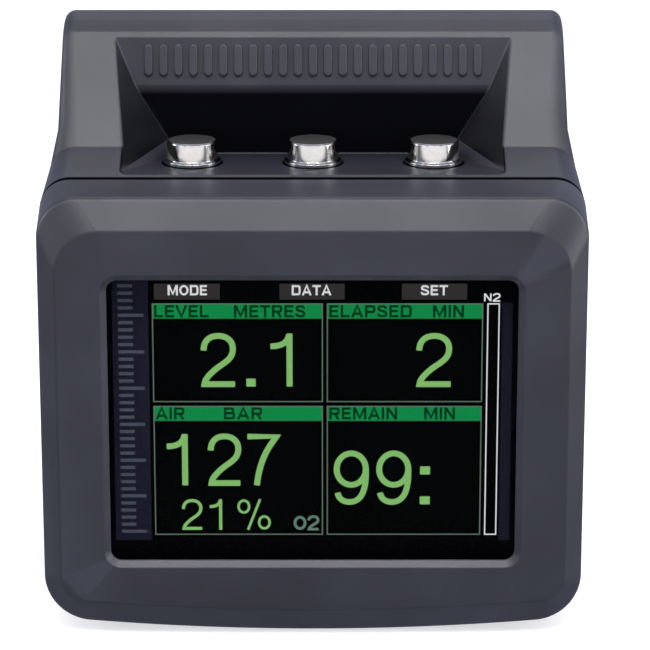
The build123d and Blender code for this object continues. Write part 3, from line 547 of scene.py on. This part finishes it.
STEM = [(0.1, 0.0), (0.1, 1.0)]
RIGHT_STEM = [(0.6, 0.0), (0.6, 1.0)]
BASE_BAR = [(0.1, 0.10), (0.58, 0.10)]
S_CURVE = (
    [(0.55, 0.70)]
    + bezier((0.55, 0.70), (0.55, 0.85), (0.44, 0.90), (0.32, 0.90))
    + bezier((0.32, 0.90), (0.18, 0.90), (0.10, 0.84), (0.10, 0.72))
    + bezier((0.10, 0.72), (0.10, 0.46), (0.56, 0.58), (0.56, 0.29))
    + bezier((0.56, 0.29), (0.56, 0.15), (0.45, 0.10), (0.32, 0.10))
    + bezier((0.32, 0.10), (0.18, 0.10), (0.08, 0.16), (0.08, 0.32))
)
# Centre lines of the capitals in a cell one unit high, with the width of each cell
CAPITALS = {
    "A": ([[(0.06, 0.0), (0.36, 0.96), (0.66, 0.0)], [(0.17, 0.30), (0.55, 0.30)]], 0.72),
    "B": ([STEM, bowl(0.55, 0.90, 0.52), bowl(0.60, 0.52, 0.10)], 0.70),
    "D": ([STEM, bowl(0.62, 0.90, 0.10)], 0.72),
    "E": ([STEM, [(0.1, 0.90), (0.58, 0.90)], [(0.1, 0.51), (0.54, 0.51)], BASE_BAR], 0.60),
    "I": ([STEM], 0.20),
    "L": ([STEM, [(0.1, 0.10), (0.56, 0.10)]], 0.58),
    "M": ([STEM, [(0.12, 0.98), (0.43, 0.14), (0.74, 0.98)], [(0.76, 1.0), (0.76, 0.0)]], 0.86),
    "N": ([STEM, [(0.12, 0.95), (0.58, 0.05)], RIGHT_STEM], 0.70),
    "O": ([oval(0.38, 0.5, 0.29, 0.41)], 0.76),
    "P": ([STEM, bowl(0.58, 0.90, 0.44)], 0.66),
    "R": ([STEM, bowl(0.58, 0.90, 0.47), [(0.36, 0.47), (0.58, 0.0)]], 0.68),
    "S": ([S_CURVE], 0.64),
    "T": ([[(0.0, 0.90), (0.62, 0.90)], [(0.31, 0.90), (0.31, 0.0)]], 0.62),
    "V": ([[(0.04, 1.0), (0.34, 0.06), (0.64, 1.0)]], 0.68),
    "2": (glyph("2")[0], 0.63),
}
LETTER_GAP = 0.08
LETTER_WEIGHT = 0.19
MITRE_LIMIT = 1.6


def word(name, text, x0, x1, z0, z1, material):
    """A word of capitals fitted to a box on the display."""
    total = sum(CAPITALS[c][1] for c in text) + LETTER_GAP * (len(text) - 1)
    across, up = (x1 - x0) * MM / total, (z1 - z0) * MM
    bm = bmesh.new()
    cursor = 0.0
    for character in text:
        paths, cell = CAPITALS[character]
        for path in paths:
            placed = [(x0 * MM + (cursor + px) * across, z0 * MM + pz * up) for px, pz in path]
            add_stroke(bm, placed, LETTER_WEIGHT * up)
        cursor += cell + LETTER_GAP
    piece_from(name, bm, material)


def add_stroke(bm, points, width):
    """Flat ribbon of constant width along a path on the display, mitred at its corners."""
    closed = (Vector(points[0]) - Vector(points[-1])).length < 1e-9
    line = [Vector(p) for p in points[:-1]] if closed else [Vector(p) for p in points]
    count = len(line)
    rims = []
    for i, point in enumerate(line):
        before = line[i - 1] if closed or i > 0 else None
        after = line[(i + 1) % count] if closed or i < count - 1 else None
        into = (point - before).normalized() if before is not None else (after - point).normalized()
        out = (after - point).normalized() if after is not None else into
        mean = (into + out).normalized()
        side = Vector((-mean.y, mean.x))
        reach = side * width / 2 * min(MITRE_LIMIT, 1.0 / max(0.3, mean.dot(into)))
        rims.append((point + reach, point - reach))
    pairs = [(bm.verts.new((a.x, INK_Y, a.y)), bm.verts.new((b.x, INK_Y, b.y))) for a, b in rims]
    last = count if closed else count - 1
    for i in range(last):
        a, b = pairs[i], pairs[(i + 1) % count]
        bm.faces.new((a[0], a[1], b[1], b[0]))


def numeral(name, character, x0, x1, z0, z1, stroke):
    """One numeral fitted to a box on the display, drawn with a stroke of constant width."""
    paths, cell = glyph(character)
    width, height = (x1 - x0) * MM, (z1 - z0) * MM
    bm = bmesh.new()
    for path in paths:
        placed = [(x0 * MM + px / cell * width, z0 * MM + pz * height) for px, pz in path]
        thickness = width if character in ".:" else stroke * MM
        add_stroke(bm, placed, thickness)
    piece_from(name, bm, lit_green)


def hollow_box(x0, x1, z0, z1, line):
    """The four thin boxes of an outline."""
    level = [(x0, x1, z0, z0 + line), (x0, x1, z1 - line, z1)]
    upright = [(x0, x0 + line, z0, z1), (x1 - line, x1, z0, z1)]
    return level + upright


# Printed mask behind the window: black border, dark blue strips and the scale on the left one.
# Outlines are (x0, x1, z0, z1) in millimetres
MASK_Y = window_high.y + 0.08 * MM
MASK_THICKNESS = 0.03 * MM
MASK_OUTER = (-27.4, 27.4, 9.15, 49.5)
MASK_OPENING = (-20.95, 24.6, 12.6, 47.7)
STRIP_Y = MASK_Y - MASK_THICKNESS
LEFT_STRIP = (-25.75, -21.1, 12.6, 47.9)
RIGHT_STRIP = (24.35, 25.7, 12.6, 44.9)
MARK_COUNT = 35
MARK_PITCH = 0.98
MARK_HEIGHT = 0.42
MARK_X = -25.0
MARK_FOOT = 13.6
LONG_MARK = 3.3
SHORT_MARK = 1.9


def frame_plate(name, outer, inner, material, y_back, thickness):
    """Flat plate with a rectangular opening."""
    bm = bmesh.new()
    ox0, ox1, oz0, oz1 = outer
    ix0, ix1, iz0, iz1 = inner
    add_slab(bm, ox0, ix0, oz0, oz1, y_back, thickness)
    add_slab(bm, ix1, ox1, oz0, oz1, y_back, thickness)
    add_slab(bm, ix0, ix1, oz0, iz0, y_back, thickness)
    add_slab(bm, ix0, ix1, iz1, oz1, y_back, thickness)
    piece_from(name, bm, material)


mask_black = bonded("mask_black", (0.0004, 0.0004, 0.0006)).material
strip_blue = bonded("strip_blue", (0.0080, 0.0080, 0.0142)).material
scale_blue = bonded("scale_blue", (0.046, 0.052, 0.070)).material
frame_plate("window_mask", MASK_OUTER, MASK_OPENING, mask_black, MASK_Y, MASK_THICKNESS)
slabs("side_strip", [LEFT_STRIP, RIGHT_STRIP], strip_blue, STRIP_Y)
marks = []
for number in range(MARK_COUNT):
    foot = MARK_FOOT + number * MARK_PITCH
    reach = LONG_MARK if number % 5 == 0 else SHORT_MARK
    marks.append((MARK_X, MARK_X + reach, foot, foot + MARK_HEIGHT))
slabs("side_scale", marks, scale_blue, STRIP_Y - LAYER)

# Layout of the picture on the display, in millimetres from the middle of the unit and its base
TAB_Z = (45.24, 47.34)
TABS_X = ((-20.34, -11.89), (-4.24, 4.12), (11.46, 19.82))
UPPER_Z = (31.45, 44.74)
LOWER_Z = (13.23, 30.95)
LEFT_X = (-20.65, 1.34)
RIGHT_X = (1.82, 21.93)
BAR_X = (22.44, 24.05)
HEADER_HEIGHT = 2.05
LINE = 0.16
TAB_WORD_Z = (45.8, 47.16)
BAR_WORD_Z = (45.0, 46.05)
UPPER_WORD_Z = (42.85, 44.5)
LOWER_WORD_Z = (29.1, 30.75)
UPPER_DIGIT_Z = (33.57, 40.71)
TANK_DIGIT_Z = (20.08, 27.12)
MIX_DIGIT_Z = (13.94, 18.17)
STOP_DIGIT_Z = (17.46, 24.81)
OXYGEN_WORD_Z = (13.94, 15.85)
LARGE_STROKE = 0.78
SMALL_STROKE = 0.42
SIGN_STROKE = 0.33

slabs("screen_tabs", [(*span, *TAB_Z) for span in TABS_X], lit_tab)
outlines = []
headers = []
for span_x in (LEFT_X, RIGHT_X):
    for span_z in (UPPER_Z, LOWER_Z):
        outlines += hollow_box(*span_x, *span_z, LINE)
        headers.append((span_x[0] + LINE, span_x[1] - LINE, span_z[1] - HEADER_HEIGHT, span_z[1] - LINE))
slabs("screen_outlines", outlines, lit_frame)
slabs("screen_bar", hollow_box(*BAR_X, LOWER_Z[0], UPPER_Z[1], LINE), lit_white)
slabs("screen_headers", headers, lit_header)
for name, text, x0, x1, span_z, material in (
    ("tab_word_left", "MODE", -18.6, -13.5, TAB_WORD_Z, lit_white),
    ("tab_word_middle", "DATA", -2.7, 2.4, TAB_WORD_Z, lit_white),
    ("tab_word_right", "SET", 13.85, 17.35, TAB_WORD_Z, lit_white),
    ("bar_word", "N2", 21.95, 24.1, BAR_WORD_Z, lit_white),
    ("header_level", "LEVEL", -20.4, -13.3, UPPER_WORD_Z, header_ink),
    ("header_metres", "METRES", -10.15, -0.9, UPPER_WORD_Z, header_ink),
    ("header_elapsed", "ELAPSED", 2.1, 12.8, UPPER_WORD_Z, header_ink),
    ("header_minutes", "MIN", 15.4, 19.5, UPPER_WORD_Z, header_ink),
    ("header_air", "AIR", -20.35, -16.55, LOWER_WORD_Z, header_ink),
    ("header_bar", "BAR", -11.57, -6.47, LOWER_WORD_Z, header_ink),
    ("header_remain", "REMAIN", 2.1, 11.0, LOWER_WORD_Z, header_ink),
    ("header_remain_minutes", "MIN", 14.4, 18.5, LOWER_WORD_Z, header_ink),
    ("oxygen_word", "O2", -2.53, 0.8, OXYGEN_WORD_Z, lit_dim),
):
    word(name, text, x0, x1, *span_z, material)
for name, character, x0, x1, span_z, stroke in (
    ("depth_units", "2", -14.4, -9.88, UPPER_DIGIT_Z, LARGE_STROKE),
    ("depth_point", ".", -8.57, -7.36, UPPER_DIGIT_Z, LARGE_STROKE),
    ("depth_tenths", "1", -5.65, -2.53, UPPER_DIGIT_Z, LARGE_STROKE),
    ("time_units", "2", 13.38, 18.0, UPPER_DIGIT_Z, LARGE_STROKE),
    ("tank_hundreds", "1", -19.2, -16.2, TANK_DIGIT_Z, LARGE_STROKE),
    ("tank_tens", "2", -13.6, -9.3, TANK_DIGIT_Z, LARGE_STROKE),
    ("tank_units", "7", -8.7, -4.44, TANK_DIGIT_Z, LARGE_STROKE),
    ("mix_tens", "2", -17.12, -14.4, MIX_DIGIT_Z, SMALL_STROKE),
    ("mix_units", "1", -13.6, -11.8, MIX_DIGIT_Z, SMALL_STROKE),
    ("mix_percent", "%", -9.9, -5.45, MIX_DIGIT_Z, SIGN_STROKE),
    ("stop_tens", "9", 2.7, 7.34, STOP_DIGIT_Z, LARGE_STROKE),
    ("stop_units", "9", 8.24, 12.87, STOP_DIGIT_Z, LARGE_STROKE),
    ("stop_colon", ":", 13.98, 15.29, STOP_DIGIT_Z, LARGE_STROKE),
):
    numeral(name, character, x0, x1, *span_z, stroke)

# ---------------------------------------------------------------- grip ribs on the slanted band of the hood
BAND_FOOT = Vector((0, front_y + 26.7 * MM, 68.3 * MM))
BAND_HEAD = Vector((0, front_y + 28.75 * MM, 74.44 * MM))
RIB_COUNT = 23
RIB_PITCH = 2.0 * MM
RIB_WIDTH = 1.15 * MM
RIB_LENGTH = 4.3 * MM
RIB_RISE = 0.42 * MM
RIB_ROUND = 0.16 * MM
# Inset and rise of each ring of a rib, from its root to its top
RIB_LEVELS = (
    (0.0, -0.1 * MM),
    (0.0, RIB_RISE - RIB_ROUND),
    (0.3 * RIB_ROUND, RIB_RISE - 0.3 * RIB_ROUND),
    (RIB_ROUND, RIB_RISE),
)


def stadium(width, length, segments=8):
    """Outline of a bar with round ends, centred on the origin."""
    radius = width / 2
    points = []
    for end in (1, -1):
        for i in range(segments + 1):
            angle = math.pi * i / segments + (0 if end > 0 else math.pi)
            points.append((radius * math.cos(angle), radius * math.sin(angle) + end * (length / 2 - radius)))
    return points


def add_rib(bm, place, along, outward):
    """One rib with a rounded rim, sunk a little into the band."""
    rings = []
    for inset, rise in RIB_LEVELS:
        outline = stadium(RIB_WIDTH - 2 * inset, RIB_LENGTH - 2 * inset)
        level = place + outward * rise
        rings.append([bm.verts.new(level + Vector((x, 0, 0)) + along * v) for x, v in outline])
    for lower, upper in zip(rings, rings[1:]):
        for i in range(len(lower)):
            j = (i + 1) % len(lower)
            bm.faces.new((lower[i], lower[j], upper[j], upper[i]))
    bm.faces.new(rings[-1])
    bm.faces.new(rings[0][::-1])


def grip_ribs():
    """Row of ribs across the slanted band."""
    along = (BAND_HEAD - BAND_FOOT).normalized()
    outward = Vector((1, 0, 0)).cross(along)
    if outward.y > 0:
        outward = -outward
    centre = (BAND_HEAD + BAND_FOOT) / 2 + along * 0.1 * MM
    bm = bmesh.new()
    for number in range(RIB_COUNT):
        place = centre + Vector(((number - (RIB_COUNT - 1) / 2) * RIB_PITCH, 0, 0))
        add_rib(bm, place, along, outward)
    piece_from("hood_grip_ribs", bm, case_plastic)


grip_ribs()

# ---------------------------------------------------------------- return springs, squashed by their buttons
WIRE = 0.45 * MM
SPRING_TURNS = 4
STEPS_A_TURN = 24
WIRE_SIDES = 10


def coil(centre, radius, foot, rise):
    """Round wire along a helix, closed at both ends."""
    slope = rise / (SPRING_TURNS * 2 * math.pi * radius)
    steps = SPRING_TURNS * STEPS_A_TURN
    bm = bmesh.new()
    rings = []
    for step in range(steps + 1):
        angle = 2 * math.pi * step / STEPS_A_TURN
        outward = Vector((math.cos(angle), math.sin(angle), 0))
        forward = Vector((-math.sin(angle), math.cos(angle), slope)).normalized()
        upward = outward.cross(forward)
        point = centre + outward * radius + Vector((0, 0, foot + rise * step / steps))
        ring = []
        for i in range(WIRE_SIDES):
            turn = 2 * math.pi * i / WIRE_SIDES
            rim = outward * math.cos(turn) + upward * math.sin(turn)
            ring.append(bm.verts.new(point + rim * WIRE / 2))
        rings.append(ring)
    for ring, following in zip(rings, rings[1:]):
        for i in range(WIRE_SIDES):
            j = (i + 1) % WIRE_SIDES
            bm.faces.new((ring[i], ring[j], following[j], following[i]))
    bm.faces.new(rings[0][::-1])
    bm.faces.new(rings[-1])
    return bm


def return_spring(side):
    """Coil spring between the seat in the case and the ceiling of one cap."""
    low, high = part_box("button_spring_" + side)
    centre = Vector(((low.x + high.x) / 2, (low.y + high.y) / 2, 0))
    radius = (high.y - low.y) / 2 - WIRE / 2
    bm = coil(centre, radius, low.z + WIRE / 2, high.z - low.z - WIRE)
    spring = piece_from("return_spring_" + side, bm, hardware)
    spring.data.shade_smooth()
    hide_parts("button_spring_" + side)
    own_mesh(spring)


for side in SIDES:
    return_spring(side)

# ---------------------------------------------------------------- stage, light, camera
FLOOR_SIZE = 6.0
FLOOR_GLOW = 0.62
STUDIO_DISTANCE = 0.8


def stage_plane(name, size, location, colour, glow):
    """Flat matt plane with a glow of its own, outside the object."""
    bm = bmesh.new()
    bmesh.ops.create_grid(bm, x_segments=1, y_segments=1, size=size / 2)
    mesh = bpy.data.meshes.new(name)
    bm.to_mesh(mesh)
    bm.free()
    obj = bpy.data.objects.new(name, mesh)
    obj.location = location
    bpy.context.scene.collection.objects.link(obj)
    shader = Shader(name)
    shader.set(Base_Color=(*colour, 1.0), Roughness=0.9)
    shader.set(Emission_Color=(1.0, 1.0, 1.0, 1.0), Emission_Strength=glow)
    mesh.materials.append(shader.material)
    return obj


floor = stage_plane("floor", FLOOR_SIZE, (0, 0, -0.2 * MM), (0.5, 0.5, 0.5), FLOOR_GLOW)
floor.visible_glossy = False


def softbox(name, centre, size, energy, target, colour=(1.0, 1.0, 1.0)):
    """Rectangular area light that faces its target."""
    light = bpy.data.lights.new(name, "AREA")
    light.shape = "RECTANGLE"
    light.size, light.size_y = size
    light.energy = energy
    light.color = colour
    obj = bpy.data.objects.new(name, light)
    obj.visible_camera = False
    obj.location = centre
    obj.rotation_euler = (Vector(target) - Vector(centre)).to_track_quat("-Z", "Y").to_euler()
    bpy.context.scene.collection.objects.link(obj)


middle = Vector((0, 0, 40 * MM))


def around(azimuth, elevation, distance):
    """Point at a bearing from the front of the unit, positive to the right, and a height angle."""
    a, e = math.radians(azimuth), math.radians(elevation)
    return middle + distance * Vector((math.sin(a) * math.cos(e), -math.cos(a) * math.cos(e), math.sin(e)))


# Bearing, height angle, distance, size and power of each softbox that points at the unit's middle
for name, azimuth, elevation, distance, size, energy in (
    ("key_light", 0, 60, STUDIO_DISTANCE, (0.6, 0.12), 3.3),
    ("key_high_light", 0, 68, STUDIO_DISTANCE, (0.6, 0.12), 2.35),
    ("front_light", 0, 35, STUDIO_DISTANCE, (0.6, 0.15), 0.35),
    ("rear_light", 180, 50, STUDIO_DISTANCE, (0.5, 0.2), 0.54),
    ("rear_high_light", 180, 70, STUDIO_DISTANCE, (0.5, 0.2), 0.5),
    ("left_front_light", -50, 20, STUDIO_DISTANCE, (0.25, 0.4), 0.19),
    ("left_light", -90, 20, STUDIO_DISTANCE, (0.25, 0.4), 2.6),
    ("left_high_light", -60, 50, STUDIO_DISTANCE, (0.3, 0.3), 1.0),
    ("right_high_light", 60, 50, STUDIO_DISTANCE, (0.3, 0.3), 1.4),
    ("right_near_light", 80, 12, 0.45, (0.2, 0.3), 1.27),
):
    softbox(name, around(azimuth, elevation, distance), size, energy, middle)

# Long low warm card in front, which faces straight back
card = Vector((-0.375, -0.45, 0.035))
softbox("front_card", card, (2.25, 0.11), 1.0, Vector((card.x, 0.0, card.z)), (1.0, 0.96, 0.90))

world = bpy.data.worlds.new("studio")
world.use_nodes = True
sky = world.node_tree.nodes["Background"].inputs
sky["Color"].default_value = (0.90, 0.95, 1.28, 1.0)
sky["Strength"].default_value = 0.515
bpy.context.scene.world = world

camera_data = bpy.data.cameras.new("camera")
camera_data.sensor_width = 36.0
camera_data.lens = 170.5
camera_data.clip_start = 0.01
camera = bpy.data.objects.new("camera", camera_data)
bpy.context.scene.collection.objects.link(camera)
ELEVATION = math.radians(16.0)
DISTANCE = 0.393
aim = Vector((1.6 * MM, front_y, 42.6 * MM))
camera.location = aim + DISTANCE * Vector((0, -math.cos(ELEVATION), math.sin(ELEVATION)))
camera.rotation_euler = (math.pi / 2 - ELEVATION, 0, 0)
bpy.context.scene.camera = camera
bpy.context.scene.view_settings.view_transform = "Standard"
